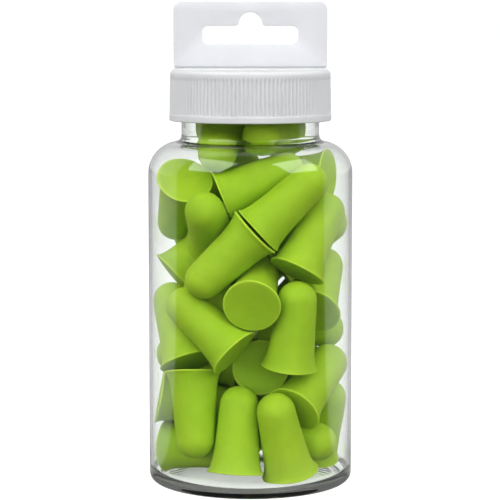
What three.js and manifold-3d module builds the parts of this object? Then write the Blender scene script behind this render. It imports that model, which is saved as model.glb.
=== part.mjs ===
// A clear round bottle of bell-shaped foam ear plugs, with a screw cap that carries a folding hang tab.
//
// Millimetres, +Z up. The origin is on the bottle's axis, on the surface that the bottle stands on.
// The hang tab stands across the cap along X, and -Y is the front.

import * as THREE from 'three';
import { mergeVertices } from 'three/addons/utils/BufferGeometryUtils.js';
import Module from 'manifold-3d';

const wasm = await Module();
wasm.setup();

// ---------------------------------------------------------------- driving dimensions

const ROUND_STEPS = 48; // facets round the bottle, the cap and the liner

const BOTTLE = {
  radius: 25.7,
  wall: 0.8,
  heel: 2.2, // outer radius between wall and underside
  standRadius: 21, // inner edge of the flat ring that the bottle stands on
  pushUp: 2.9, // height of the domed underside at the axis
  floorCorner: 3.4, // inner radius between wall and floor
  floorLow: 1.3, // lowest ring of the floor
  floorHigh: 4, // floor at the axis
  shoulder: 8, // outer radius of the shoulder
  shoulderTop: 86.3,
};

const NECK = {
  radius: 17.3,
  bore: 16.4,
  top: 101.6,
  fillet: 1.8, // outside, where the shoulder meets the neck
  innerRound: 1.3, // inside, at the same place
};

// Neck and cap have matching one-and-a-quarter-turn threads of six turns an inch.
const THREAD = {
  pitch: 25.4 / 6,
  turns: 1.25,
  start: 94.9, // height where the neck's thread begins
  neckCrest: 18.75,
  capCrest: 17.95,
  rootHalf: 1.1,
  crestHalf: 0.5,
  sink: 0.3, // how far a thread's root reaches into its wall
};

const CAP = {
  bottom: 91.5,
  top: 104.1,
  skirtRadius: 20.35,
  topRadius: 20.1,
  bore: 19.05,
  innerTop: 102.8,
  edge: 1, // rounding of the top edge
  lead: 0.35, // chamfer at the mouth of the bore
};

const LINER = { radius: 18.6, bottom: 101.75, top: 102.65 };

const TAB = {
  width: 38.4,
  top: 121.1,
  thickness: 0.9,
  corner: 2.1,
  footWidth: 39,
  footDepth: 1.6,
  footHeight: 0.4,
  hingeGap: 0.3, // left open here, bridged by the thin web of the living hinge
};
TAB.hingeHeight = CAP.top + TAB.footHeight + TAB.hingeGap + TAB.thickness / 2;

const EURO_SLOT = {
  width: 24.1,
  height: 4.55,
  top: TAB.top - 6,
  corner: 1.6,
  humpWidth: 7.4,
  humpHeight: 3.4,
  humpRound: 3,
};

const PLUG = {
  length: 21.8,
  flare: 7.05, // radius of the flat base
  dome: 4.8, // radius of the round tip
  gap: 0.25, // clearance that lying plugs keep from each other and from the bottle
  headspace: 4.6, // left free below the rim of the bottle
};

// ---------------------------------------------------------------- helpers

const point = (r, z) => new THREE.Vector2(r, z);

// Points on an arc about (r, z), both ends included. Angles are in degrees from the +r direction.
function arc(r, z, radius, from, to, steps) {
  const points = [];
  for (let i = 0; i <= steps; i += 1) {
    const angle = THREE.MathUtils.degToRad(THREE.MathUtils.lerp(from, to, i / steps));
    points.push(point(r + radius * Math.cos(angle), z + radius * Math.sin(angle)));
  }
  return points;
}

// Points of a shallow dome with its top on the axis and its rim at (rim, low), from the axis out.
function shallowDome(rim, low, high, steps) {
  const rise = high - low;
  const radius = (rim * rim + rise * rise) / (2 * rise);
  const rimAngle = THREE.MathUtils.radToDeg(Math.acos(rim / radius));
  return arc(0, high - radius, radius, 90, rimAngle, steps);
}

// A closed triangle mesh as a Manifold solid, with its faces pointing out.
function toSolid(geometry) {
  geometry.deleteAttribute('normal');
  geometry.deleteAttribute('uv');
  const merged = mergeVertices(geometry, 1e-4);
  const position = merged.getAttribute('position');
  const index = merged.getIndex().array;
  const a = new THREE.Vector3();
  const b = new THREE.Vector3();
  const c = new THREE.Vector3();
  const triangles = [];
  let volume = 0;
  for (let i = 0; i < index.length; i += 3) {
    const [ia, ib, ic] = [index[i], index[i + 1], index[i + 2]];
    if (ia === ib || ib === ic || ic === ia) continue;
    triangles.push(ia, ib, ic);
    a.fromBufferAttribute(position, ia);
    b.fromBufferAttribute(position, ib);
    c.fromBufferAttribute(position, ic);
    volume += a.dot(b.cross(c)) / 6;
  }
  if (volume < 0) triangles.reverse();
  return new wasm.Manifold(
    new wasm.Mesh({
      numProp: 3,
      vertProperties: new Float32Array(position.array),
      triVerts: new Uint32Array(triangles),
    }),
  );
}

function toMesh(name, solid, material) {
  const { vertProperties, triVerts } = solid.getMesh();
  const geometry = new THREE.BufferGeometry();
  geometry.setAttribute('position', new THREE.BufferAttribute(vertProperties, 3));
  geometry.setIndex(new THREE.BufferAttribute(triVerts, 1));
  geometry.computeVertexNormals();
  const mesh = new THREE.Mesh(geometry, material);
  mesh.name = name;
  return mesh;
}

// A profile of (radius, height) points turned about the Z axis.
function turned(profile, steps = ROUND_STEPS) {
  return toSolid(new THREE.LatheGeometry(profile, steps).rotateX(Math.PI / 2));
}

function block(width, depth, bottom, top) {
  const box = new THREE.BoxGeometry(width, depth, top - bottom);
  return toSolid(box.translate(0, 0, (bottom + top) / 2));
}

// A helical rib on a wall. It climbs one pitch a turn, counterclockwise seen from above, and
// grows out of the wall over its first eighth of a turn and back into it over its last.
function threadRib(wall, crest, start) {
  const steps = Math.round(ROUND_STEPS * THREAD.turns);
  const outward = Math.sign(crest - wall);
  const root = wall - outward * THREAD.sink;
  const fadeSteps = ROUND_STEPS / 8;
  const positions = [];
  for (let i = 0; i <= steps; i += 1) {
    const angle = (2 * Math.PI * i) / ROUND_STEPS;
    const height = start + (THREAD.pitch * i) / ROUND_STEPS;
    const grown = Math.min(1, i / fadeSteps, (steps - i) / fadeSteps);
    const tip = THREE.MathUtils.lerp(root + (outward * THREAD.sink) / 2, crest, grown);
    const section = [
      [root, -THREAD.rootHalf],
      [tip, -THREAD.crestHalf],
      [tip, THREAD.crestHalf],
      [root, THREAD.rootHalf],
    ];
    for (const [radius, offset] of section) {
      positions.push(radius * Math.cos(angle), radius * Math.sin(angle), height + offset);
    }
  }
  const triangles = [0, 2, 1, 0, 3, 2];
  for (let i = 0; i < steps; i += 1) {
    for (let side = 0; side < 4; side += 1) {
      const near = 4 * i + side;
      const next = 4 * i + ((side + 1) % 4);
      triangles.push(near, next, next + 4, near, next + 4, near + 4);
    }
  }
  const last = 4 * steps;
  triangles.push(last, last + 1, last + 2, last, last + 2, last + 3);
  const geometry = new THREE.BufferGeometry();
  geometry.setAttribute('position', new THREE.BufferAttribute(new Float32Array(positions), 3));
  geometry.setIndex(triangles);
  return toSolid(geometry);
}

// ---------------------------------------------------------------- bottle

const shoulderAxis = point(BOTTLE.radius - BOTTLE.shoulder, BOTTLE.shoulderTop - BOTTLE.shoulder);

// The inside of the bottle, from the floor's middle up to the rim of the mouth.
function bottleInside() {
  const wall = BOTTLE.radius - BOTTLE.wall;
  const corner = point(wall - BOTTLE.floorCorner, BOTTLE.floorLow + BOTTLE.floorCorner);
  const shoulder = BOTTLE.shoulder - BOTTLE.wall;
  const throat = shoulderAxis.y + shoulder + NECK.innerRound;
  return [
    ...shallowDome(corner.x, BOTTLE.floorLow, BOTTLE.floorHigh, 4),
    ...arc(corner.x, corner.y, BOTTLE.floorCorner, -90, 0, 4).slice(1),
    ...arc(shoulderAxis.x, shoulderAxis.y, shoulder, 0, 90, 6),
    ...arc(NECK.bore + NECK.innerRound, throat, NECK.innerRound, 270, 180, 3).slice(1),
    point(NECK.bore, NECK.top),
  ];
}

function bottleOutside() {
  const heelAxis = BOTTLE.radius - BOTTLE.heel;
  // The fillet touches the shoulder's round and the neck's side.
  const filletX = NECK.radius + NECK.fillet;
  const reach = BOTTLE.shoulder + NECK.fillet;
  const filletY = shoulderAxis.y + Math.sqrt(reach ** 2 - (filletX - shoulderAxis.x) ** 2);
  const touch = THREE.MathUtils.radToDeg(Math.acos((filletX - shoulderAxis.x) / reach));
  return [
    ...shallowDome(BOTTLE.standRadius, 0, BOTTLE.pushUp, 4),
    ...arc(heelAxis, BOTTLE.heel, BOTTLE.heel, -90, 0, 4),
    ...arc(shoulderAxis.x, shoulderAxis.y, BOTTLE.shoulder, 0, touch, 7),
    ...arc(filletX, filletY, NECK.fillet, 180 + touch, 180, 4).slice(1),
    point(NECK.radius, NECK.top),
  ];
}

function bottle() {
  const shell = turned([...bottleOutside(), ...bottleInside().reverse()]);
  return shell.add(threadRib(NECK.radius, THREAD.neckCrest, THREAD.start));
}

// ---------------------------------------------------------------- cap, liner and hang tab

function capShell() {
  const shell = turned([
    point(0, CAP.innerTop),
    point(CAP.bore, CAP.innerTop),
    point(CAP.bore, CAP.bottom + CAP.lead),
    point(CAP.bore + CAP.lead, CAP.bottom),
    point(CAP.skirtRadius, CAP.bottom),
    ...arc(CAP.topRadius - CAP.edge, CAP.top - CAP.edge, CAP.edge, 0, 90, 3),
    point(0, CAP.top),
  ]);
  const foot = block(TAB.footWidth, TAB.footDepth, CAP.innerTop + CAP.edge / 2, CAP.top + TAB.footHeight);
  // Half a pitch below the neck's thread, so that the two threads mesh.
  const thread = threadRib(CAP.bore, THREAD.capCrest, THREAD.start - THREAD.pitch / 2);
  return shell.add(foot).add(thread);
}

function capLiner() {
  return turned([
    point(0, LINER.bottom),
    point(LINER.radius, LINER.bottom),
    point(LINER.radius, LINER.top),
    point(0, LINER.top),
  ]);
}

// The slot that shop hooks go through: a long slot with a round hump in the middle of its top.
function euroSlot() {
  const halfWidth = EURO_SLOT.width / 2;
  const bottom = EURO_SLOT.top - EURO_SLOT.height;
  const humpHalf = EURO_SLOT.humpWidth / 2;
  const humpAxis = EURO_SLOT.top + EURO_SLOT.humpHeight - EURO_SLOT.humpRound;
  const end = halfWidth - EURO_SLOT.corner;
  const path = new THREE.Path();
  path.moveTo(-end, bottom);
  path.lineTo(end, bottom);
  path.absarc(end, bottom + EURO_SLOT.corner, EURO_SLOT.corner, -Math.PI / 2, 0);
  path.absarc(end, EURO_SLOT.top - EURO_SLOT.corner, EURO_SLOT.corner, 0, Math.PI / 2);
  path.lineTo(humpHalf, EURO_SLOT.top);
  path.absarc(0, humpAxis, EURO_SLOT.humpRound, 0, Math.PI);
  path.lineTo(-humpHalf, EURO_SLOT.top);
  path.absarc(-end, EURO_SLOT.top - EURO_SLOT.corner, EURO_SLOT.corner, Math.PI / 2, Math.PI);
  path.absarc(-end, bottom + EURO_SLOT.corner, EURO_SLOT.corner, Math.PI, 1.5 * Math.PI);
  return path;
}

function hangTab() {
  const halfWidth = TAB.width / 2;
  const inset = halfWidth - TAB.corner;
  const shape = new THREE.Shape();
  shape.moveTo(-halfWidth, TAB.hingeHeight);
  shape.lineTo(halfWidth, TAB.hingeHeight);
  shape.absarc(inset, TAB.top - TAB.corner, TAB.corner, 0, Math.PI / 2);
  shape.absarc(-inset, TAB.top - TAB.corner, TAB.corner, Math.PI / 2, Math.PI);
  shape.holes.push(euroSlot());
  const settings = { depth: TAB.thickness, bevelEnabled: false, curveSegments: 6 };
  const panel = new THREE.ExtrudeGeometry(shape, settings);
  panel.translate(0, 0, -TAB.thickness / 2).rotateX(Math.PI / 2);
  // The lower edge is round about the hinge's axis, so that the tab turns clear of its foot.
  const edge = new THREE.CylinderGeometry(TAB.thickness / 2, TAB.thickness / 2, TAB.width, 12);
  edge.rotateZ(Math.PI / 2).translate(0, 0, TAB.hingeHeight);
  return toSolid(panel).add(toSolid(edge));
}

// ---------------------------------------------------------------- ear plugs

// A plug's half outline: (radius, distance from its flat base), from the base's middle to the tip.
function plugOutline(domeSteps) {
  const domeStart = PLUG.length - PLUG.dome;
  return [
    point(0, 0),
    point(PLUG.flare, 0),
    point(6.2, 1.9),
    point(5.55, 5.5),
    point(5.15, 11),
    ...arc(0, domeStart, PLUG.dome, 0, 90, domeSteps),
  ];
}

// Where each plug lies: its middle in x, y and z, the bearing of its tip seen from above
// (0 to the right, 90 to the back) and how many degrees the tip points up.
const LYING = [
  // in the neck
  [-8.7, -4.5, 85.5, 267, -18],
  [5, -4.5, 88, 255, -10],
  // shoulder
  [-18, 3, 67, 90, -38],
  [-12, -7.5, 65, 262, 18],
  [2.5, -10, 75.5, 3, 20],
  [9.8, -15, 72.5, 3, 42],
  [9, 8, 74, 160, 5],
  [16, -6, 63, 40, 58],
  [17, 7, 60, 15, 62],
  // upper middle
  [-8.2, -15.5, 57.5, 178, -40],
  [-14, 11, 58, 200, 0],
  [-9.5, 3, 52, 60, -20],
  [0.3, -6.5, 50, 90, 27],
  [16.5, 0, 52, 68, 32],
  [-11.7, 12, 46.5, 190, 0],
  // lower middle
  [-13, -13.5, 42.5, 157, 30],
  [-17, -4.5, 37.5, 110, 48],
  [11, -17, 42, 0, 84],
  [13.5, 4, 37, 0, 0],
  [1, 1.5, 29, 90, -3],
  [-13.5, 5, 33, 185, 0],
  [18.3, -6, 26, 60, 50],
  // floor
  [-13.8, -16, 21.5, 310, -76],
  [-13, 5, 22, 25, -2],
  [-11.5, -7, 9, 320, -4],
  [-2.5, -13.5, 14, 95, 75],
  [6.8, -17.5, 15.5, 217, 58],
  [12, -4, 9, 328, -16],
  [17.5, 5, 14, 30, 85],
];

// The rest fill the back of the bottle in rings of three.
const BACK = { rings: 5, perRing: 3, low: 13, rise: 15, radius: 16 };

function backPlugs() {
  const places = [];
  for (let ring = 0; ring < BACK.rings; ring += 1) {
    for (let i = 0; i < BACK.perRing; i += 1) {
      // The middles of the third and the top ring are filled by plugs from in front.
      if ((ring === 2 || ring === 4) && i === 1) continue;
      const bearing = 45 + 45 * i + 20 * (ring % 2);
      const angle = THREE.MathUtils.degToRad(bearing);
      places.push([
        BACK.radius * Math.cos(angle),
        BACK.radius * Math.sin(angle),
        BACK.low + BACK.rise * ring,
        bearing + 80 + 70 * i,
        50 * Math.sin(2 * ring + 3 * i),
      ]);
    }
  }
  return places;
}

// Nearest point of a closed outline to (r, z), with the signed distance, negative inside.
function nearestOnOutline(outline, r, z) {
  let best = Infinity;
  let nearR = 0;
  let nearZ = 0;
  let inside = false;
  for (let i = 0, j = outline.length - 1; i < outline.length; j = i, i += 1) {
    const a = outline[j];
    const b = outline[i];
    const dr = b.x - a.x;
    const dz = b.y - a.y;
    const along = ((r - a.x) * dr + (z - a.y) * dz) / (dr * dr + dz * dz);
    const t = Math.min(1, Math.max(0, along));
    const gapR = r - a.x - t * dr;
    const gapZ = z - a.y - t * dz;
    const square = gapR * gapR + gapZ * gapZ;
    // The edge that lies on the axis isn't a surface.
    if (square < best && (a.x > 0 || b.x > 0)) {
      best = square;
      nearR = r - gapR;
      nearZ = z - gapZ;
    }
    if (a.y > z !== b.y > z && r < a.x + ((z - a.y) * dr) / dz) inside = !inside;
  }
  return { distance: inside ? -Math.sqrt(best) : Math.sqrt(best), r: nearR, z: nearZ };
}

const SETTLE = {
  rounds: 1800,
  pullRounds: 1400, // rounds in which the plugs are still drawn to their places
  pull: 0.08,
  depthPull: 0.3, // how much of that pull acts between the front and the back
  depthEase: 1, // how much further a plug gives way towards the front or the back than sideways
  haste: 1.3, // how much further a push goes than it has to
  gyration: 45, // squared radius of gyration of a plug
};

// The further back a plug lies, the more easily it gives way: e times as easily every depth.
const MOBILITY = { front: -17, depth: 14 };

class LyingPlug {
  constructor([x, y, z, bearing, pitch]) {
    const turn = THREE.MathUtils.degToRad(bearing);
    const lift = THREE.MathUtils.degToRad(pitch);
    this.middle = new THREE.Vector3(x, y, z);
    this.axis = new THREE.Vector3(Math.cos(turn), Math.sin(turn), 0).multiplyScalar(Math.cos(lift));
    this.axis.z = Math.sin(lift);
    this.homeMiddle = this.middle.clone();
    this.homeAxis = this.axis.clone();
    this.mobility = Math.exp((y - MOBILITY.front) / MOBILITY.depth);
  }

  drawHome(pull) {
    const depth = this.middle.y;
    this.middle.lerp(this.homeMiddle, pull);
    this.middle.y = THREE.MathUtils.lerp(depth, this.middle.y, SETTLE.depthPull);
    this.axis.lerp(this.homeAxis, pull).normalize();
  }

  // Surface points, in rings from the base to the tip.
  surfacePoints() {
    const { axis, middle } = this;
    const side = new THREE.Vector3(0, 0, 1);
    if (Math.abs(axis.z) > 0.9) side.set(1, 0, 0);
    side.cross(axis).normalize();
    const other = axis.clone().cross(side);
    return RING_POINTS.map(([along, across, upward]) =>
      middle.clone().addScaledVector(axis, along).addScaledVector(side, across).addScaledVector(other, upward),
    );
  }

  weightAt(at, push) {
    const lever = at.clone().sub(this.middle).cross(push);
    const ease = SETTLE.depthEase * push.y * push.y;
    return this.mobility * (1 + ease + lever.lengthSq() / SETTLE.gyration);
  }

  shift(at, push, amount) {
    const step = amount * this.mobility;
    const lever = at.clone().sub(this.middle).cross(push);
    this.middle.addScaledVector(push, step);
    this.middle.y += SETTLE.depthEase * push.y * step;
    this.axis.add(lever.multiplyScalar(step / SETTLE.gyration).cross(this.axis)).normalize();
  }
}

const FINE_OUTLINE = plugOutline(4);
const HALF_LENGTH = PLUG.length / 2;
const CORE_BALLS = [-6, -3, 0, 3, 6]; // middles of the balls in a plug's core, from the plug's middle
const FILL_TOP = NECK.top - PLUG.headspace;

// Points spread over a plug's surface: (along the axis, across it, across it the other way).
const RING_POINTS = (() => {
  const points = [[-HALF_LENGTH, 0, 0], [HALF_LENGTH, 0, 0]];
  const between = [point(PLUG.flare / 2, 0), point(5.3, 8), point(4.97, 14)];
  const pointsPerRing = 16;
  for (const ring of [...FINE_OUTLINE.slice(1, -1), ...between]) {
    for (let i = 0; i < pointsPerRing; i += 1) {
      const angle = (2 * Math.PI * i) / pointsPerRing;
      points.push([ring.y - HALF_LENGTH, ring.x * Math.cos(angle), ring.x * Math.sin(angle)]);
    }
  }
  return points;
})();

// The deepest contact between the round cores of two plugs, each taken as a row of balls.
function coreContact(plug, other) {
  let worst = { distance: PLUG.gap };
  const at = new THREE.Vector3();
  const away = new THREE.Vector3();
  for (const along of CORE_BALLS) {
    for (const otherAlong of CORE_BALLS) {
      at.copy(plug.middle).addScaledVector(plug.axis, along);
      away.copy(at).sub(other.middle).addScaledVector(other.axis, -otherAlong);
      const distance = away.length() - 2 * PLUG.dome;
      if (distance >= worst.distance) continue;
      if (away.lengthSq() < 1e-6) away.set(0, 1, 0);
      worst = { distance, at: at.clone(), out: away.clone().normalize() };
    }
  }
  return worst;
}

// The deepest of one plug's surface points in another plug: where it is and which way is out.
function surfaceContact(plug, other) {
  let worst = { distance: PLUG.gap };
  const offset = new THREE.Vector3();
  for (const at of plug.surfacePoints()) {
    offset.copy(at).sub(other.middle);
    const along = offset.dot(other.axis);
    if (Math.abs(along) > HALF_LENGTH + PLUG.gap) continue;
    offset.addScaledVector(other.axis, -along);
    const radius = offset.length();
    if (radius > PLUG.flare + PLUG.gap) continue;
    const near = nearestOnOutline(FINE_OUTLINE, radius, along + HALF_LENGTH);
    if (near.distance >= worst.distance) continue;
    const sign = near.distance < 0 ? -1 : 1;
    const out = offset.clone().multiplyScalar((sign * (radius - near.r)) / Math.max(radius, 1e-6));
    out.addScaledVector(other.axis, sign * (along + HALF_LENGTH - near.z));
    if (out.lengthSq() < 1e-12) continue;
    worst = { distance: near.distance, at: at.clone(), out: out.normalize() };
  }
  return worst;
}

// The surface point of a plug that is nearest to the inside of the bottle, or furthest out of it.
function outermost(points, hollow) {
  let worst = { distance: -PLUG.gap };
  for (const at of points) {
    const radius = Math.hypot(at.x, at.y);
    const near = nearestOnOutline(hollow, radius, at.z);
    if (near.distance <= worst.distance) continue;
    const sign = near.distance < 0 ? 1 : -1;
    const inward = (sign * (radius - near.r)) / Math.max(radius, 1e-6);
    const out = new THREE.Vector3(at.x * inward, at.y * inward, sign * (at.z - near.z));
    worst = { distance: near.distance, at: at.clone(), out: out.normalize() };
  }
  return worst;
}

// Push the plugs apart and into the bottle until none of them touch.
function settle(plugs, hollow) {
  const reach = 2 * Math.hypot(HALF_LENGTH, PLUG.flare) + PLUG.gap;
  for (let round = 0; round < SETTLE.rounds; round += 1) {
    const pull = SETTLE.pull * Math.max(0, 1 - round / SETTLE.pullRounds);
    for (const plug of plugs) plug.drawHome(pull);
    for (const plug of plugs) {
      for (const other of plugs) {
        if (plug === other || plug.middle.distanceTo(other.middle) > reach) continue;
        for (const contact of [coreContact, surfaceContact]) {
          const { at, out, distance } = contact(plug, other);
          if (!at) continue;
          const weight = plug.weightAt(at, out) + other.weightAt(at, out);
          const amount = (SETTLE.haste * (PLUG.gap - distance)) / weight;
          plug.shift(at, out, amount);
          other.shift(at, out, -amount);
        }
      }
      const wall = outermost(plug.surfacePoints(), hollow);
      if (wall.at) {
        const weight = plug.weightAt(wall.at, wall.out);
        plug.shift(wall.at, wall.out, (SETTLE.haste * (wall.distance + PLUG.gap)) / weight);
      }
    }
  }
}

function earPlugs() {
  const plugs = [...LYING, ...backPlugs()].map((place) => new LyingPlug(place));
  const hollow = [...bottleInside().slice(0, -1), point(NECK.bore, FILL_TOP), point(0, FILL_TOP)];
  settle(plugs, hollow);
  return plugs;
}

// ---------------------------------------------------------------- assembly

const clearPlastic = new THREE.MeshStandardMaterial({ color: 0xdfe5e0, roughness: 0.08, metalness: 0 });
const whitePlastic = new THREE.MeshStandardMaterial({ color: 0xeef0f1, roughness: 0.4, metalness: 0 });
const linerFoam = new THREE.MeshStandardMaterial({ color: 0xf3f3ef, roughness: 0.9, metalness: 0 });
const plugFoam = new THREE.MeshStandardMaterial({ color: 0x9cc832, roughness: 0.85, metalness: 0 });

const object = new THREE.Group();
object.add(toMesh('bottle', bottle(), clearPlastic));
object.add(toMesh('cap_shell', capShell(), whitePlastic));
object.add(toMesh('cap_liner', capLiner(), linerFoam));
object.add(toMesh('hang_tab', hangTab(), whitePlastic));

const PLUG_STEPS = 14;
const up = new THREE.Vector3(0, 0, 1);
earPlugs().forEach((plug, i) => {
  const name = `plug_${String(i + 1).padStart(2, '0')}`;
  const mesh = toMesh(name, turned(plugOutline(2), PLUG_STEPS), plugFoam);
  mesh.quaternion.setFromUnitVectors(up, plug.axis);
  mesh.position.copy(plug.middle).addScaledVector(plug.axis, -HALF_LENGTH);
  object.add(mesh);
});

export default object;
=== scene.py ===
# A clear round bottle of bell-shaped foam ear plugs, with a ribbed screw cap and a folding hang tab.
#
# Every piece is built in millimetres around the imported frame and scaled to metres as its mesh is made.
# +Z is up, the origin is on the bottle's axis where it stands, and -Y is the front.

import math
import random

import bmesh
import bpy
from mathutils import Matrix, Vector, noise


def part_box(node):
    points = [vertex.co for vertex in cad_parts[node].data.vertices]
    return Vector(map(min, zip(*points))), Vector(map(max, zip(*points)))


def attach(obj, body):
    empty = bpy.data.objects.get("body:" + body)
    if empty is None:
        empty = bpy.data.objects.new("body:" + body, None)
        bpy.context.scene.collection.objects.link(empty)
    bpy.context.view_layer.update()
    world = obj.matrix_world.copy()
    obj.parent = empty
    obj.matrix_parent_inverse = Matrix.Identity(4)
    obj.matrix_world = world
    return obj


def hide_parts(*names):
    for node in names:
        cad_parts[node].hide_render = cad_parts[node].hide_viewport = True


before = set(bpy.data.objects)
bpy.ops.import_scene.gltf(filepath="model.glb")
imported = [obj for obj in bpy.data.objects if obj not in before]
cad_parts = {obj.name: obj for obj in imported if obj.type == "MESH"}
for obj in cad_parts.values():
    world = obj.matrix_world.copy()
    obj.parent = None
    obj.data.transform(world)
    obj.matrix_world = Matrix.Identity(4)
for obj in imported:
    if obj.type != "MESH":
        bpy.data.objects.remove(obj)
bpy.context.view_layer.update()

MM = 0.001
TAU = 2 * math.pi


def box_mm(node):
    """A CAD node's lowest and highest corners, in millimetres."""
    low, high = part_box(node)
    return Vector(low) / MM, Vector(high) / MM


bottle_high = box_mm("bottle")[1]
cap_low, cap_high = box_mm("cap_shell")
liner_low, liner_high = box_mm("cap_liner")
tab_low, tab_high = box_mm("hang_tab")
PLUG_NODES = sorted(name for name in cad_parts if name.startswith("plug_"))

# ---------------------------------------------------------------- sizes, in millimetres

BOTTLE = {
    "radius": bottle_high.x,
    "wall": 0.8,
    "heel": 2.2,
    "stand": 21,
    "push_up": 2.9,
    "floor_corner": 3.4,
    "floor_low": 1.3,
    "floor_high": 4,
    "shoulder": 8,
    "shoulder_top": 86.3,
}
GATE = {"radius": 1.1, "depth": 0.5, "rim": 1.5, "rim_depth": 0.1}
STIPPLE = {"inner": 16.8, "outer": 20.2, "ridges": 48, "height": 0.07}
NECK = {"radius": 17.3, "bore": 16.4, "top": bottle_high.z, "fillet": 1.8, "inner_round": 1.3, "lip": 0.25}
THREAD = {
    "pitch": 25.4 / 6,
    "turns": 1.25,
    "start": 94.9,
    "neck_crest": 18.75,
    "cap_crest": 17.95,
    "root_half": 1.1,
    "crest_half": 0.5,
    "run_out": 1 / 8,
}
CAP = {
    "bottom": cap_low.z,
    "top": 104.1,
    "radius": cap_high.x,
    "top_radius": 20.1,
    "bore": 19.05,
    "inner_top": 102.8,
    "edge": 1,
    "inner_round": 0.4,
    "lead": 0.35,
    "lead_foot": 0.05,
    "lip": 0.3,
    "sink": 0.12,
    "sink_radius": 19,
    "ribs": 120,
    "rib_depth": 0.34,
    "rib_flatness": 0.8,
    "rib_bottom": cap_low.z + 1.5,
    "rib_rise": 0.45,
    "rib_top": 102.75,
    "rib_fade": 1.3,
}
LINER_EDGE = 0.2
FOOT = {
    "width": 39,
    "depth": 1.6,
    "top": cap_high.z,
    "sunk": 0.3,
    "bevel": 0.3,
    "end_bevel": 0.25,
    "end_narrowing": 0.15,
    "end_drop": 0.2,
}
TAB = {
    "width": tab_high.x - tab_low.x,
    "thickness": tab_high.y - tab_low.y,
    "top": tab_high.z,
    "corner": 2.1,
    "bevel": 0.14,
}
TAB["hinge"] = tab_low.z + TAB["thickness"] / 2
WEB = {"inset": 0.3, "sunk": 0.05}
SLOT = {
    "width": 24.1,
    "height": 4.55,
    "top": tab_high.z - 6,
    "corner": 1.6,
    "hump_width": 7.4,
    "hump_height": 3.4,
    "hump_round": 3,
}
PLUG = {
    "length": 21.8,
    "body": 5.905,
    "taper": 0.065,
    "bell": 1.145,
    "bell_length": 1.9,
    "flare": 7.05,
    "flare_inset": 0.02,
    "rim": 0.22,
    "dome": 4.8,
    "dome_bluntness": 0.94,
    # The base's thin edge, beyond this radius and below this height, gets a painted glow.
    "glow_radius": 6.75,
    "glow_height": 0.3,
}
# How far a packed plug departs from round and straight. Its ripple and lift die out along the flare.
SOFT = {
    "oval": 0.011,
    "bow": 0.1,
    "shrink": 0.04,
    "core": 2.0,
    "dent": 0.09,
    "dents_per_mm": 0.22,
    "dent_shift": 40,
    "ripple": 0.07,
    "lift": 0.12,
    "flare_length": 1.5,
}

# Points round a ring, and the distance from ring to ring.
BOTTLE_STEPS = 144
CAP_STEPS = 144
RIB_STEPS = CAP["ribs"] * 6
PLUG_STEPS = 44
WALL_SPACING = 6
THREAD_SPACING = 0.24
SKIRT_SPACING = {"plain": 0.5, "rise": 0.1, "middle": 1.6, "fade": 0.13}

# ---------------------------------------------------------------- mesh helpers


def smooth_step(t):
    """0 up to t = 0, 1 from t = 1 on, and an even S between."""
    t = min(1.0, max(0.0, t))
    return t * t * (3 - 2 * t)


def arc(x, y, radius, start, end, steps):
    """Points on an arc about (x, y), both ends included, with angles in degrees."""
    angles = (math.radians(start + (end - start) * i / steps) for i in range(steps + 1))
    return [(x + radius * math.cos(a), y + radius * math.sin(a)) for a in angles]


def shallow_dome(rim, low, high, steps):
    """Points of a shallow dome with its top on the axis and its rim at (rim, low), from the axis out."""
    rise = high - low
    radius = (rim * rim + rise * rise) / (2 * rise)
    rim_angle = math.degrees(math.acos(rim / radius))
    return [(0, high)] + arc(0, high - radius, radius, 90, rim_angle, steps)[1:]


def steps_between(start, end, size):
    """Heights from start to end at about that spacing, both ends included."""
    count = max(1, round(abs(end - start) / size))
    return [start + (end - start) * i / count for i in range(count + 1)]


class Ring:
    """One ring of a turned body. shape(angle, radius, height) gives the ring's real radius and height."""

    def __init__(self, radius, height, steps, shape=None):
        self.radius, self.height, self.steps, self.shape = radius, height, steps, shape

    def points(self):
        if self.radius < 1e-6:
            return [(0, 0, self.height)]
        points = []
        for i in range(self.steps):
            angle = TAU * i / self.steps
            radius, height = self.radius, self.height
            if self.shape:
                radius, height = self.shape(angle, radius, height)
            points.append((radius * math.cos(angle), radius * math.sin(angle), height))
        return points


def rings(outline, steps, shape=None):
    """Rings through an outline's points of (radius, height)."""
    return [Ring(radius, height, steps, shape) for radius, height in outline]


def strip(few, many):
    """Faces between two rings of vertex numbers, the second with as many points or a whole multiple."""
    if len(few) > len(many):
        return strip(many, few)
    share = len(many) // len(few)
    faces = []
    for i in range(len(few)):
        near, far = few[i], few[(i + 1) % len(few)]
        outer = [many[(i * share + k) % len(many)] for k in range(share + 1)]
        if share == 1:
            faces.append((near, far, outer[1], outer[0]))
            continue
        middle = share // 2 if len(few) > 1 else share
        faces += [(near, outer[k + 1], outer[k]) for k in range(middle)]
        faces += [(far, outer[k + 1], outer[k]) for k in range(middle, share)]
        if len(few) > 1:
            faces.append((near, far, outer[middle]))
    return faces


def turned(profile):
    """Vertices and faces of a closed body turned about Z, from rings that start and end on the axis."""
    vertices, numbers = [], []
    for ring in profile:
        points = ring.points()
        numbers.append(range(len(vertices), len(vertices) + len(points)))
        vertices += points
    faces = []
    for near, far in zip(numbers, numbers[1:]):
        faces += strip(near, far)
    return vertices, faces


def piece(name, vertices, faces, body, slot, material, sharp=40, move=None):
    """A new object from vertices in millimetres, smooth but for edges sharper than that many degrees."""
    mesh = bpy.data.meshes.new(name)
    scale = Matrix.Scale(MM, 4)
    where = scale @ move if move else scale
    mesh.from_pydata([where @ Vector(v) for v in vertices], [], faces)
    fix = bmesh.new()
    fix.from_mesh(mesh)
    bmesh.ops.recalc_face_normals(fix, faces=fix.faces)
    fix.to_mesh(mesh)
    fix.free()
    mesh.shade_smooth()
    mesh.set_sharp_from_angle(angle=math.radians(sharp))
    mesh.materials.append(material)
    made = bpy.data.objects.new(name, mesh)
    bpy.context.scene.collection.objects.link(made)
    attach(made, body)
    return made


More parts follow.
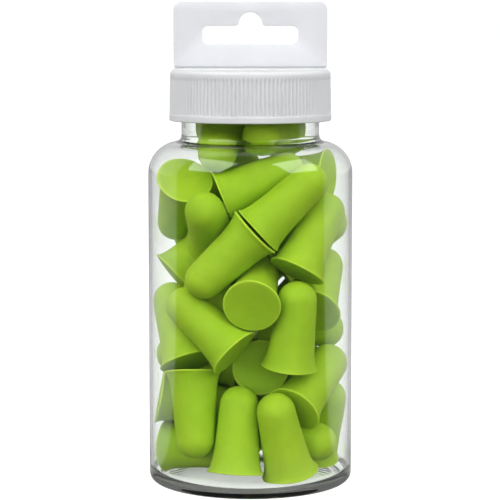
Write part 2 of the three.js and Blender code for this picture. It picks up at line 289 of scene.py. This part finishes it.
# ---------------------------------------------------------------- material helpers


class Tree:
    """A node tree, with short ways to add to it."""

    def __init__(self, tree):
        self.tree = tree

    def add(self, kind, **settings):
        node = self.tree.nodes.new(kind)
        for name, value in settings.items():
            setattr(node, name, value)
        return node

    def link(self, output, target):
        self.tree.links.new(output, target)

    def feed(self, value, target):
        """Link an output to the target, or set a plain value on it."""
        if isinstance(value, bpy.types.NodeSocket):
            self.link(value, target)
        else:
            target.default_value = value

    def math(self, operation, *values, **settings):
        node = self.add("ShaderNodeMath", operation=operation, **settings)
        for socket, value in zip(node.inputs, values):
            self.feed(value, socket)
        return node.outputs["Value"]

    def across(self, value, low, high, start, end):
        """A smooth change from start to end as value goes from low to high."""
        node = self.add("ShaderNodeMapRange", interpolation_type="SMOOTHSTEP")
        for name, number in (("From Min", low), ("From Max", high), ("To Min", start), ("To Max", end)):
            node.inputs[name].default_value = number
        self.link(value, node.inputs["Value"])
        return node.outputs["Result"]

    def split(self, vector):
        """The X, Y and Z outputs of a vector."""
        node = self.add("ShaderNodeSeparateXYZ")
        self.link(vector, node.inputs[0])
        return node.outputs

    def mixed_shader(self, factor, first, second):
        node = self.add("ShaderNodeMixShader")
        for value, socket in zip((factor, first, second), node.inputs):
            self.link(value, socket)
        return node.outputs["Shader"]

    def bounced(self):
        """1 for light that was reflected or scattered, and 0 for what is seen straight or through plastic."""
        rays = self.add("ShaderNodeLightPath").outputs
        return self.math("ADD", rays["Glossy Depth"], rays["Diffuse Depth"], use_clamp=True)


class Nodes(Tree):
    """A material's node tree, with its Principled shader set up from plain values."""

    def __init__(self, name, **values):
        self.material = bpy.data.materials.new(name)
        self.material.use_nodes = True
        super().__init__(self.material.node_tree)
        self.shader = self.tree.nodes["Principled BSDF"]
        self.output = self.tree.nodes["Material Output"]
        for socket, value in values.items():
            self.shader.inputs[socket.replace("_", " ")].default_value = value
        self.place = self.add("ShaderNodeTexCoord").outputs["Object"]

    def noise(self, size, detail=2.0, rough=0.5):
        """Noise whose features are about that many millimetres wide."""
        node = self.add("ShaderNodeTexNoise")
        node.inputs["Scale"].default_value = 1 / (size * MM)
        node.inputs["Detail"].default_value = detail
        node.inputs["Roughness"].default_value = rough
        self.link(self.place, node.inputs["Vector"])
        return node.outputs["Fac"]

    def cells(self, size):
        """Distance to the middle of the nearest of many cells, about that many millimetres apart."""
        node = self.add("ShaderNodeTexVoronoi")
        node.inputs["Scale"].default_value = 1 / (size * MM)
        self.link(self.place, node.inputs["Vector"])
        return node.outputs["Distance"]

    def ramp(self, factor, *stops):
        """A colour ramp over factor, from stops of (position, colour)."""
        node = self.add("ShaderNodeValToRGB")
        elements = node.color_ramp.elements
        while len(elements) < len(stops):
            elements.new(0.5)
        for element, (position, colour) in zip(elements, stops):
            element.position = position
            element.color = (*colour, 1)
        self.link(factor, node.inputs["Fac"])
        return node.outputs["Color"]

    def laid_over(self, below, above, factor=1, blend="MIX"):
        """One colour laid over another. A Mix node keeps its sockets for colours at these places."""
        node = self.add("ShaderNodeMix", data_type="RGBA", blend_type=blend)
        for place, value in ((0, factor), (6, below), (7, above)):
            self.feed(value, node.inputs[place])
        return node.outputs[2]

    def bump(self, *layers):
        """Stacked bumps from (height, depth in millimetres, strength)."""
        normal = None
        for height, depth, strength in layers:
            node = self.add("ShaderNodeBump")
            node.inputs["Strength"].default_value = strength
            node.inputs["Distance"].default_value = depth * MM
            self.link(height, node.inputs["Height"])
            if normal:
                self.link(normal, node.inputs["Normal"])
            normal = node.outputs["Normal"]
        self.link(normal, self.shader.inputs["Normal"])


def clear_plastic():
    """Blow-moulded PET with a faint grey-green tint and slight waves.

    Diffuse light and the light of lamps pass straight through it.
    """
    nodes = Nodes("clear_plastic", Base_Color=(0.955, 0.975, 0.962, 1), Roughness=0.02, IOR=1.57)
    nodes.shader.inputs["Transmission Weight"].default_value = 1
    nodes.bump((nodes.noise(22, detail=1), 0.25, 0.12))
    rays = nodes.add("ShaderNodeLightPath")
    passing = nodes.add("ShaderNodeBsdfTransparent")
    shader = nodes.shader.outputs["BSDF"]
    for kind in ("Is Diffuse Ray", "Is Shadow Ray"):
        shader = nodes.mixed_shader(rays.outputs[kind], shader, passing.outputs["BSDF"])
    nodes.link(shader, nodes.output.inputs["Surface"])
    return nodes.material


def moulded_white(name, shade, roughness, depth):
    """Satin white polypropylene with its mould's fine grain. Light spreads that many millimetres in it."""
    nodes = Nodes(name, Roughness=roughness, IOR=1.49)
    darker = tuple(0.95 * c for c in shade)
    nodes.link(nodes.ramp(nodes.noise(9, 3), (0.3, darker), (0.7, shade)), nodes.shader.inputs["Base Color"])
    nodes.shader.inputs["Subsurface Weight"].default_value = 0.6
    nodes.shader.inputs["Subsurface Radius"].default_value = (1, 1, 1)
    nodes.shader.inputs["Subsurface Scale"].default_value = depth * MM
    swing = 0.08
    gloss = nodes.math("MULTIPLY_ADD", nodes.noise(2.5, 3), 2 * swing, roughness - swing)
    nodes.link(gloss, nodes.shader.inputs["Roughness"])
    nodes.bump((nodes.noise(6, 2), 0.05, 0.2), (nodes.noise(0.25, 3), 0.01, 0.4))
    return nodes.material


def liner_foam():
    """Off-white foam with fine cells, each darker in its pit as painted shade."""
    nodes = Nodes("liner_foam", Roughness=0.8)
    cells = nodes.cells(0.35)
    # Painted shade: darker towards the bottom of each cell's pit.
    tone_and_pit_shade = nodes.ramp(cells, (0.0, (0.74, 0.74, 0.72)), (0.6, (0.86, 0.86, 0.84)))
    nodes.link(tone_and_pit_shade, nodes.shader.inputs["Base Color"])
    nodes.bump((cells, 0.08, 0.5))
    return nodes.material


def plug_foam():
    """Lime-green slow-recovery foam: a fine skin with pin-hole pores, darkened with painted shade in their
    pits, and a soft mottle.

    The mesh's rim attribute marks the thin edge of the base, where a paler green is painted on as the glow of
    light coming through it.
    """
    nodes = Nodes("plug_foam", Roughness=0.62, IOR=1.42)
    shader = nodes.shader.inputs
    shader["Specular IOR Level"].default_value = 0.25
    shader["Subsurface Weight"].default_value = 0.5
    shader["Subsurface Radius"].default_value = (1.0, 1.3, 0.25)
    shader["Subsurface Scale"].default_value = MM
    green, warm_green, glow_green = (0.345, 0.565, 0.018), (0.405, 0.6, 0.028), (0.62, 0.8, 0.08, 1)
    batch = nodes.ramp(nodes.noise(26, 1), (0.3, green), (0.7, warm_green))
    mottle = nodes.ramp(nodes.noise(3.2, 4, 0.6), (0.3, (0.86, 0.90, 0.80)), (0.7, (1, 1, 1)))
    pores = nodes.cells(0.42)
    # Painted shade: each pore's pit is darkened.
    holes = nodes.ramp(pores, (0.02, (0.72, 0.76, 0.62)), (0.16, (1, 1, 1)))
    tone_and_pit_shade = batch
    for layer in (mottle, holes):
        tone_and_pit_shade = nodes.laid_over(tone_and_pit_shade, layer, blend="MULTIPLY")
    rim = nodes.add("ShaderNodeAttribute", attribute_name="rim").outputs["Fac"]
    # Painted glow: a paler green laid over the base's thin edge, standing in for light that comes through it.
    thin = nodes.ramp(rim, (0.7, (0, 0, 0)), (1, (0.45, 0.45, 0.45)))
    nodes.link(nodes.laid_over(tone_and_pit_shade, glow_green, thin), shader["Base Color"])
    nodes.bump(
        (nodes.noise(4.5, 2), 0.12, 0.25),
        (nodes.noise(0.5, 4, 0.65), 0.03, 0.35),
        (pores, 0.03, 0.3),
    )
    return nodes.material


# ---------------------------------------------------------------- bottle


def thread_height(angle, height, start):
    """How far a thread that starts there stands out at an angle and height: 0 on the wall, 1 on its crest."""
    tallest = 0.0
    for turn in range(2):
        along = angle / TAU + turn
        if along > THREAD["turns"]:
            continue
        offset = abs(height - start - THREAD["pitch"] * along)
        flank = (THREAD["root_half"] - offset) / (THREAD["root_half"] - THREAD["crest_half"])
        end = min(along, THREAD["turns"] - along) / THREAD["run_out"]
        tallest = max(tallest, smooth_step(flank) * smooth_step(end))
    return tallest


def neck_thread(angle, radius, height):
    rise = thread_height(angle, height, THREAD["start"])
    return radius + (THREAD["neck_crest"] - radius) * rise, height


def base_stipple(angle, radius, height):
    """Short fine ridges in a band round the pushed-up base."""
    across = (radius - STIPPLE["inner"]) / (STIPPLE["outer"] - STIPPLE["inner"])
    if not 0 < across < 1:
        return radius, height
    wave = 0.5 - 0.5 * math.cos(STIPPLE["ridges"] * angle)
    return radius, height - STIPPLE["height"] * wave * math.sin(math.pi * across)


def bottle_outside():
    """From the middle of the base up to the lip."""
    radius, wall_top = BOTTLE["radius"], BOTTLE["shoulder_top"] - BOTTLE["shoulder"]
    heel = radius - BOTTLE["heel"]
    shoulder = radius - BOTTLE["shoulder"]
    # The fillet touches the shoulder's round and the neck's side.
    fillet_x = NECK["radius"] + NECK["fillet"]
    reach = BOTTLE["shoulder"] + NECK["fillet"]
    fillet_z = wall_top + math.sqrt(reach**2 - (fillet_x - shoulder) ** 2)
    touch = math.degrees(math.acos((fillet_x - shoulder) / reach))
    # The mould's gate leaves a small knob hanging from the middle of the base.
    gate_low = BOTTLE["push_up"] - GATE["depth"]
    gate = [(0, gate_low), (GATE["radius"], gate_low), (GATE["rim"], BOTTLE["push_up"] - GATE["rim_depth"])]
    base = [p for p in shallow_dome(BOTTLE["stand"], 0, BOTTLE["push_up"], 26) if p[0] > GATE["rim"]]
    side = arc(heel, BOTTLE["heel"], BOTTLE["heel"], -90, 0, 10)
    wall = [(radius, z) for z in steps_between(BOTTLE["heel"], wall_top, WALL_SPACING)[1:-1]]
    turn = arc(shoulder, wall_top, BOTTLE["shoulder"], 0, touch, 20)
    root = arc(fillet_x, fillet_z, NECK["fillet"], 180 + touch, 180, 10)[1:]
    lip = arc(NECK["radius"] - NECK["lip"], NECK["top"] - NECK["lip"], NECK["lip"], 0, 90, 4)
    finish = [(NECK["radius"], z) for z in steps_between(root[-1][1], lip[0][1], THREAD_SPACING)[1:-1]]
    return (
        rings(gate + base + side + wall + turn + root, BOTTLE_STEPS, base_stipple)
        + rings(finish, BOTTLE_STEPS, neck_thread)
        + rings(lip, BOTTLE_STEPS)
    )


def bottle_inside():
    """From the mouth down to the middle of the floor."""
    wall = BOTTLE["radius"] - BOTTLE["wall"]
    corner = (wall - BOTTLE["floor_corner"], BOTTLE["floor_low"] + BOTTLE["floor_corner"])
    shoulder = (BOTTLE["radius"] - BOTTLE["shoulder"], BOTTLE["shoulder_top"] - BOTTLE["shoulder"])
    inner = BOTTLE["shoulder"] - BOTTLE["wall"]
    throat = (NECK["bore"] + NECK["inner_round"], shoulder[1] + inner + NECK["inner_round"])
    outline = (
        arc(NECK["bore"] + NECK["lip"], NECK["top"] - NECK["lip"], NECK["lip"], 90, 180, 4)
        + arc(*throat, NECK["inner_round"], 180, 270, 8)
        + arc(*shoulder, inner, 90, 0, 20)[1:]
        + [(wall, z) for z in steps_between(shoulder[1], corner[1], WALL_SPACING)[1:-1]]
        + arc(*corner, BOTTLE["floor_corner"], 0, -90, 12)
        + shallow_dome(corner[0], BOTTLE["floor_low"], BOTTLE["floor_high"], 16)[::-1][1:]
    )
    return rings(outline, BOTTLE_STEPS)


def bottle(material):
    vertices, faces = turned(bottle_outside() + bottle_inside())
    made = piece("clear_bottle", vertices, faces, "bottle", "clear_plastic", material)
    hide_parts("bottle")


# ---------------------------------------------------------------- cap and liner


def cap_thread(angle, radius, height):
    rise = thread_height(angle, height, THREAD["start"] - THREAD["pitch"] / 2)
    return radius + (THREAD["cap_crest"] - radius) * rise, height


def grip_ribs(angle, radius, height):
    """Round-topped ribs that run out at both ends, more slowly at the top."""
    rise = (height - CAP["rib_bottom"]) / CAP["rib_rise"]
    fade = (CAP["rib_top"] - height) / CAP["rib_fade"]
    groove = (0.5 - 0.5 * math.cos(CAP["ribs"] * angle)) ** CAP["rib_flatness"]
    return radius - CAP["rib_depth"] * groove * smooth_step(min(rise, fade)), height


def cap_radius(height):
    """The skirt narrows evenly from its bottom edge to its top edge."""
    share = (height - CAP["bottom"]) / (CAP["top"] - CAP["edge"] - CAP["bottom"])
    return CAP["radius"] + (CAP["top_radius"] - CAP["radius"]) * share


def cap(material):
    bore, bottom, top, edge = CAP["bore"], CAP["bottom"], CAP["top"], CAP["edge"]
    inner_top, inner_round, lip = CAP["inner_top"], CAP["inner_round"], CAP["lip"]
    inside = [(0, inner_top)] + arc(bore - inner_round, inner_top - inner_round, inner_round, 90, 0, 4)
    groove_top = inner_top - 1.5 * inner_round
    grooved = [(bore, z) for z in steps_between(groove_top, bottom + CAP["lead"], THREAD_SPACING)]
    mouth = [(bore + CAP["lead"], bottom + CAP["lead_foot"])]
    mouth += arc(CAP["radius"] - lip, bottom + lip, lip, -90, 0, 4)
    # The rings stand close together where the ribs rise and fade, and wide apart between.
    rise_end, fade_start = CAP["rib_bottom"] + 0.5, CAP["rib_top"] - CAP["rib_fade"]
    plain = steps_between(bottom + 1.5 * lip, CAP["rib_bottom"] - 0.1, SKIRT_SPACING["plain"])
    rises = steps_between(CAP["rib_bottom"], rise_end, SKIRT_SPACING["rise"])
    middle = steps_between(rise_end, fade_start, SKIRT_SPACING["middle"])[1:-1]
    fades = steps_between(fade_start, CAP["rib_top"], SKIRT_SPACING["fade"])
    skirt = [(cap_radius(z), z) for z in plain]
    ribbed = [(cap_radius(z), z) for z in rises + middle + fades]
    crown = arc(CAP["top_radius"] - edge, top - edge, edge, 0, 90, 8)
    # The top sinks very slightly towards its middle, as a moulded disc does when it cools.
    disc = [(r, top - CAP["sink"] * (1 - (r / CAP["sink_radius"]) ** 2)) for r in (17, 14, 10, 5, 0)]
    profile = (
        rings(inside, CAP_STEPS)
        + rings(grooved, CAP_STEPS, cap_thread)
        + rings(mouth, CAP_STEPS)
        + rings(skirt, RIB_STEPS)
        + rings(ribbed, RIB_STEPS, grip_ribs)
        + rings(crown, RIB_STEPS)
        + rings(disc, CAP_STEPS)
    )
    made = piece("ribbed_cap", *turned(profile), "cap", "cap_plastic", material)
    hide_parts("cap_shell")


def liner(material):
    """A foam disc with rounded edges, very slightly hollow beneath."""
    low, high, edge = liner_low.z, liner_high.z, LINER_EDGE
    middle = liner_high.x - edge
    hollow = [(0, 0.06), (12, 0.06), (16, 0.04), (liner_high.x - 3 * edge, 0)]
    outline = (
        [(radius, low + rise) for radius, rise in hollow]
        + arc(middle, low + edge, edge, -90, 0, 3)
        + arc(middle, high - edge, edge, 0, 90, 3)
        + [(12, high), (0, high)]
    )
    made = piece("foam_liner", *turned(rings(outline, CAP_STEPS)), "liner", "liner_foam", material)
    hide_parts("cap_liner")


# ---------------------------------------------------------------- hang tab and its hinge


def panel_outline():
    """The tab's outline in (x, z), above the hinge."""
    half, corner = TAB["width"] / 2, TAB["corner"]
    low, top = TAB["hinge"], TAB["top"]
    return (
        [(-half, low), (half, low)]
        + arc(half - corner, top - corner, corner, 0, 90, 8)
        + arc(corner - half, top - corner, corner, 90, 180, 8)
    )


def slot_outline():
    """The euro slot in (x, z): a long slot with a round hump in the middle of its top."""
    half, corner, top = SLOT["width"] / 2, SLOT["corner"], SLOT["top"]
    bottom, end = top - SLOT["height"], half - corner
    hump = top + SLOT["hump_height"] - SLOT["hump_round"]
    return (
        arc(end, bottom + corner, corner, -90, 0, 6)
        + arc(end, top - corner, corner, 0, 90, 6)
        + [(SLOT["hump_width"] / 2, top)]
        + arc(0, hump, SLOT["hump_round"], 0, 180, 18)
        + [(-SLOT["hump_width"] / 2, top)]
        + arc(-end, top - corner, corner, 90, 180, 6)
        + arc(-end, bottom + corner, corner, 180, 270, 6)
    )


def plate(name, outlines, thickness, bevel):
    """An upright plate with rounded edges, in millimetres: outlines in (x, z), the holes after the rim."""
    curve = bpy.data.curves.new(name, "CURVE")
    curve.dimensions = "2D"
    curve.fill_mode = "BOTH"
    curve.extrude = thickness / 2 - bevel
    curve.bevel_depth = bevel
    curve.bevel_resolution = 2
    curve.offset = -bevel
    for outline in outlines:
        spline = curve.splines.new("POLY")
        spline.points.add(len(outline) - 1)
        for point, (x, z) in zip(spline.points, outline):
            point.co = (x, z, 0, 1)
        spline.use_cyclic_u = True
    holder = bpy.data.objects.new(name, curve)
    mesh = bpy.data.meshes.new_from_object(holder)
    bpy.data.objects.remove(holder)
    mesh.transform(Matrix.Rotation(math.pi / 2, 4, "X"))
    return mesh


def rod(radius, length, height, steps=20):
    """A round bar along X as a mesh in millimetres, with its ends slightly bevelled."""
    bevel = 0.1
    start = [(0, 0), (radius - bevel, 0), (radius, bevel)]
    end = [(radius, length - bevel), (radius - bevel, length), (0, length)]
    vertices, faces = turned(rings(start + end, steps))
    mesh = bpy.data.meshes.new("rod")
    mesh.from_pydata([(z - length / 2, x, y + height) for x, y, z in vertices], [], faces)
    return mesh


def cleaned(mesh):
    """The same mesh, with points that coincide made one and its faces turned outwards."""
    fix = bmesh.new()
    fix.from_mesh(mesh)
    bmesh.ops.remove_doubles(fix, verts=fix.verts, dist=1e-3)
    bmesh.ops.recalc_face_normals(fix, faces=fix.faces)
    fix.to_mesh(mesh)
    fix.free()
    return mesh


def joined(first, second):
    """One closed mesh from two that overlap."""
    holders = [bpy.data.objects.new("part", cleaned(mesh)) for mesh in (first, second)]
    for holder in holders:
        bpy.context.scene.collection.objects.link(holder)
    union = holders[0].modifiers.new("union", "BOOLEAN")
    union.operation = "UNION"
    union.solver = "EXACT"
    union.object = holders[1]
    bpy.context.view_layer.update()
    shaped = holders[0].evaluated_get(bpy.context.evaluated_depsgraph_get())
    mesh = bpy.data.meshes.new_from_object(shaped)
    for holder in holders:
        bpy.data.objects.remove(holder)
    return cleaned(mesh)


def mesh_data(mesh):
    """A mesh's vertices and faces as plain lists."""
    return [tuple(v.co) for v in mesh.vertices], [tuple(p.vertices) for p in mesh.polygons]


def hang_tab(material):
    panel = plate("panel", [panel_outline(), slot_outline()], TAB["thickness"], TAB["bevel"])
    edge = rod(TAB["thickness"] / 2, TAB["width"], TAB["hinge"])
    made = piece("hang_tab_panel", *mesh_data(joined(panel, edge)), "tab", "tab_plastic", material, sharp=35)
    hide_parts("hang_tab")


def tab_foot(material):
    """The low rib on the cap that the tab's hinge grows from. Its top edges and its ends are bevelled."""
    half, depth, bevel = FOOT["width"] / 2, FOOT["depth"] / 2, FOOT["bevel"]
    low, top = CAP["top"] - FOOT["sunk"], FOOT["top"]
    front = [(-depth, low), (-depth, top - bevel), (-depth + bevel, top)]
    section = front + [(-y, z) for y, z in reversed(front)]
    inner = half - FOOT["end_bevel"]
    vertices = []
    for x, at_end in ((-half, 1), (-inner, 0), (inner, 0), (half, 1)):
        narrowed, drop = 1 - FOOT["end_narrowing"] * at_end, FOOT["end_drop"] * at_end
        vertices += [(x, y * narrowed, z - drop * (z > low)) for y, z in section]
    count = len(section)
    faces = [tuple(range(count)), tuple(range(3 * count, 4 * count))]
    for end in range(3):
        for i in range(count):
            a, b = end * count + i, end * count + (i + 1) % count
            faces.append((a, b, b + count, a + count))
    piece("tab_foot", vertices, faces, "cap", "cap_plastic", material, sharp=50)


def hinge_web(material):
    """The living hinge: a thin waisted web from the foot to the hinge's axis, inside the tab's round edge."""
    half = TAB["width"] / 2 - WEB["inset"]
    low, high = FOOT["top"] - WEB["sunk"], TAB["hinge"]
    # Height and half thickness, from the foot up.
    levels = [(low, 0.5), (low + 0.12, 0.26), (low + 0.22, 0.17), (low + 0.36, 0.17), (high, 0.2)]
    section = [(-width, z) for z, width in levels] + [(width, z) for z, width in reversed(levels)]
    vertices = [(x, y, z) for x in (-half, half) for y, z in section]
    count = len(section)
    faces = [tuple(range(count)), tuple(range(count, 2 * count))]
    faces += [(i, (i + 1) % count, (i + 1) % count + count, i + count) for i in range(count)]
    piece("hinge_web", vertices, faces, "cap", "tab_plastic", material, sharp=50)


# ---------------------------------------------------------------- ear plugs


def plug_radius(along):
    """A plug's radius at that distance from its base: an even taper, and a bell that dies out."""
    return PLUG["body"] - PLUG["taper"] * along + PLUG["bell"] * math.exp(-along / PLUG["bell_length"])


def plug_outline():
    """The half outline in (radius, distance from the base): base, soft rim, bell, body and dome."""
    rim, dome, dome_start = PLUG["rim"], PLUG["dome"], PLUG["length"] - PLUG["dome"]
    base = [(0, 0.16), (2.4, 0.15), (4.4, 0.1), (5.7, 0.04)]
    edge = arc(PLUG["flare"] - PLUG["flare_inset"] - rim, rim, rim, -90, 15, 5)
    bell = [(plug_radius(along), along) for along in (0.7, 1.1, 1.6, 2.2, 2.9, 3.7, 4.6, 5.7)]
    body = [(plug_radius(along), along) for along in (7, 8.6, 10.4, 12.4, 14.4, 16)]
    # The dome is a little blunter than half a ball, and meets the body without a crease.
    tip = []
    for i in range(9):
        angle = math.radians(10 * i)
        tip.append((dome * math.cos(angle) ** PLUG["dome_bluntness"], dome_start + dome * math.sin(angle)))
    return base + edge + bell + body + tip + [(0, PLUG["length"])]


def plug_place(node):
    """Where a plug lies: the middle of its flat base and the direction of its tip, read from its CAD node."""
    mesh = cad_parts[node].data
    parallel = 0.9999
    faces = [(p.normal.copy(), p.area, p.center.copy()) for p in mesh.polygons]
    areas = [sum(other[1] for other in faces if other[0].dot(face[0]) > parallel) for face in faces]
    out = faces[areas.index(max(areas))][0]
    base = [face for face in faces if face[0].dot(out) > parallel]
    middle = sum((face[2] * face[1] for face in base), Vector()) / sum(face[1] for face in base)
    return middle / MM, -out


def mark_glow_rim(made, vertices):
    """Mark the points on the thin edge of a plug's base, where its material paints a pale green glow."""
    marks = [math.hypot(x, y) > PLUG["glow_radius"] and z < PLUG["glow_height"] for x, y, z in vertices]
    rim = made.data.attributes.new("rim", "FLOAT", "POINT")
    rim.data.foreach_set("value", [float(mark) for mark in marks])


def plug(node, material):
    """One plug: turned from its outline, then bent and dented a little, as soft foam is when packed."""
    middle, tip = plug_place(node)
    chance = random.Random(node)
    phase, lean, squeeze, seed = (chance.uniform(0, TAU) for _ in range(4))
    oval = SOFT["oval"] * math.sin(squeeze)
    vertices, faces = turned(rings(plug_outline(), PLUG_STEPS))
    shaped = []
    for x, y, z in vertices:
        x, y = x * (1 + oval), y * (1 - oval)
        radius, angle = math.hypot(x, y), math.atan2(y, x)
        bow = SOFT["bow"] * ((z / PLUG["length"] - 0.5) * 2) ** 2
        spot = Vector((x, y, z + SOFT["dent_shift"] * seed))
        dent = SOFT["dent"] * noise.noise(spot * SOFT["dents_per_mm"])
        flare = math.exp(-z / SOFT["flare_length"])
        ripple = SOFT["ripple"] * math.sin(2 * angle + phase) * flare
        grown = 1 + (dent + ripple - SOFT["shrink"]) / max(radius, SOFT["core"])
        lift = SOFT["lift"] * flare * (radius / PLUG["flare"]) ** 2 * math.cos(2 * angle + lean)
        shaped.append((x * grown + bow * math.cos(lean), y * grown + bow * math.sin(lean), z + lift))
    turn = tip.to_track_quat("Z", "Y").to_matrix().to_4x4()
    move = Matrix.Translation(middle) @ turn
    name = node.replace("plug", "foam_plug")
    made = piece(name, shaped, faces, "bottle", "plug_foam", material, sharp=60, move=move)
    mark_glow_rim(made, vertices)
    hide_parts(node)


# ---------------------------------------------------------------- studio, in metres

CAMERA = {"lens": 146.2, "sensor": 36, "place": (-0.00008, -0.5106, 0.1158), "down": 6.38}
# How bright the surroundings are where they are seen straight, and behind, above and low in front of
# the object where they reflect in it or light it. The fill lights from the front. Each pair of edges is
# where one brightness runs into the next, as the Y or Z of a direction.
TENT = {"seen": 1.02, "back": 0.64, "top": 0.1, "opening": 0.02, "fill": 2.5}
TENT_EDGES = {"back": (-0.05, 0.1), "top": (0.3, 0.8), "fill": (-0.95, -0.25)}
FLOOR = {"radius": 12, "grey": 0.5, "glow": 0.75}
# The floor as the object reflects it: grey behind it, and in front darker from one distance to another.
MIRRORED = {"behind": 0.6, "blur": 0.005, "near": 0.21, "distances": (0.03, 0.1)}
# Soft boxes: place, width and height in metres, and power in watts.
LAMPS = {
    "upper_left": ((-0.56, -0.38, 0.66), (0.68, 0.66), 3.4),
    "upper_right": ((0.62, -0.3, 0.6), (0.62, 0.6), 2.8),
}
LAMP_TARGET = (0, 0, 0.06)


def floor():
    """A wide disc, pale where it is seen. Where the object reflects it or is lit by it, its front is dark."""
    mesh = bpy.data.meshes.new("floor")
    made = bpy.data.objects.new("floor", mesh)
    shape = bmesh.new()
    bmesh.ops.create_circle(shape, cap_ends=True, radius=FLOOR["radius"], segments=64)
    shape.to_mesh(mesh)
    shape.free()
    bpy.context.scene.collection.objects.link(made)
    nodes = Nodes("floor_paper", Roughness=0.9)
    nodes.shader.inputs["Specular IOR Level"].default_value = 0
    nodes.shader.inputs["Base Color"].default_value = (FLOOR["grey"], FLOOR["grey"], FLOOR["grey"], 1)
    nodes.shader.inputs["Emission Color"].default_value = (1, 1, 1, 1)
    nodes.shader.inputs["Emission Strength"].default_value = FLOOR["glow"]
    away = nodes.add("ShaderNodeVectorMath", operation="LENGTH")
    nodes.link(nodes.place, away.inputs[0])
    behind = nodes.across(nodes.split(nodes.place)["Y"], -MIRRORED["blur"], MIRRORED["blur"], 0, 1)
    near = nodes.across(away.outputs["Value"], *MIRRORED["distances"], 0.4, 0.06)
    greys = (0, (0, 0, 0)), (0.4, (MIRRORED["near"],) * 3), (1, (MIRRORED["behind"],) * 3)
    mirrored = nodes.add("ShaderNodeBsdfDiffuse")
    nodes.link(nodes.ramp(nodes.math("MAXIMUM", behind, near), *greys), mirrored.inputs["Color"])
    shader = nodes.mixed_shader(nodes.bounced(), nodes.shader.outputs["BSDF"], mirrored.outputs["BSDF"])
    nodes.link(shader, nodes.output.inputs["Surface"])
    mesh.materials.append(nodes.material)


def lamp(name, place, target, size, power):
    """A soft box that faces a target."""
    light = bpy.data.lights.new(name, "AREA")
    light.shape = "RECTANGLE"
    light.size, light.size_y = size
    light.energy = power
    made = bpy.data.objects.new(name, light)
    made.location = place
    made.rotation_euler = (Vector(target) - Vector(place)).to_track_quat("-Z", "Y").to_euler()
    bpy.context.scene.collection.objects.link(made)


def tent():
    """Plain white where it is seen straight. What it lights and what reflects it is a tent, open in front."""
    world = bpy.data.worlds.new("tent")
    world.use_nodes = True
    sky = Tree(world.node_tree)
    way = sky.split(sky.add("ShaderNodeTexCoord").outputs["Generated"])
    behind = sky.across(way["Y"], *TENT_EDGES["back"], TENT["opening"], TENT["back"])
    above = sky.across(way["Z"], *TENT_EDGES["top"], 0, TENT["top"])
    cloth = sky.math("MAXIMUM", behind, above)
    # Light from the front that doesn't show as a reflection in the plastic.
    front = sky.across(way["Y"], *TENT_EDGES["fill"], TENT["fill"], 0)
    scattered = sky.add("ShaderNodeLightPath").outputs["Is Diffuse Ray"]
    fill = sky.math("MULTIPLY_ADD", scattered, front, cloth)
    strength = sky.add("ShaderNodeMix")
    sky.link(sky.bounced(), strength.inputs["Factor"])
    strength.inputs["A"].default_value = TENT["seen"]
    sky.link(fill, strength.inputs["B"])
    background = world.node_tree.nodes["Background"]
    background.inputs["Color"].default_value = (1, 1, 1, 1)
    sky.link(strength.outputs["Result"], background.inputs["Strength"])
    bpy.context.scene.world = world


def studio():
    tent()
    for name, (place, size, power) in LAMPS.items():
        lamp(name, place, LAMP_TARGET, size, power)
    bpy.context.scene.view_settings.view_transform = "Standard"


def camera():
    data = bpy.data.cameras.new("camera")
    data.lens = CAMERA["lens"]
    data.sensor_width = CAMERA["sensor"]
    made = bpy.data.objects.new("camera", data)
    made.location = CAMERA["place"]
    made.rotation_euler = (math.radians(90 - CAMERA["down"]), 0, 0)
    bpy.context.scene.collection.objects.link(made)
    bpy.context.scene.camera = made


# ---------------------------------------------------------------- the object

camera()
studio()
floor()

white_cap = moulded_white("cap_plastic", shade=(0.665, 0.675, 0.685), roughness=0.42, depth=0.8)
white_tab = moulded_white("tab_plastic", shade=(0.665, 0.675, 0.71), roughness=0.45, depth=4.0)
foam = plug_foam()

bottle(clear_plastic())
cap(white_cap)
liner(liner_foam())
hang_tab(white_tab)
tab_foot(white_cap)
hinge_web(white_tab)
for node_name in PLUG_NODES:
    plug(node_name, foam)
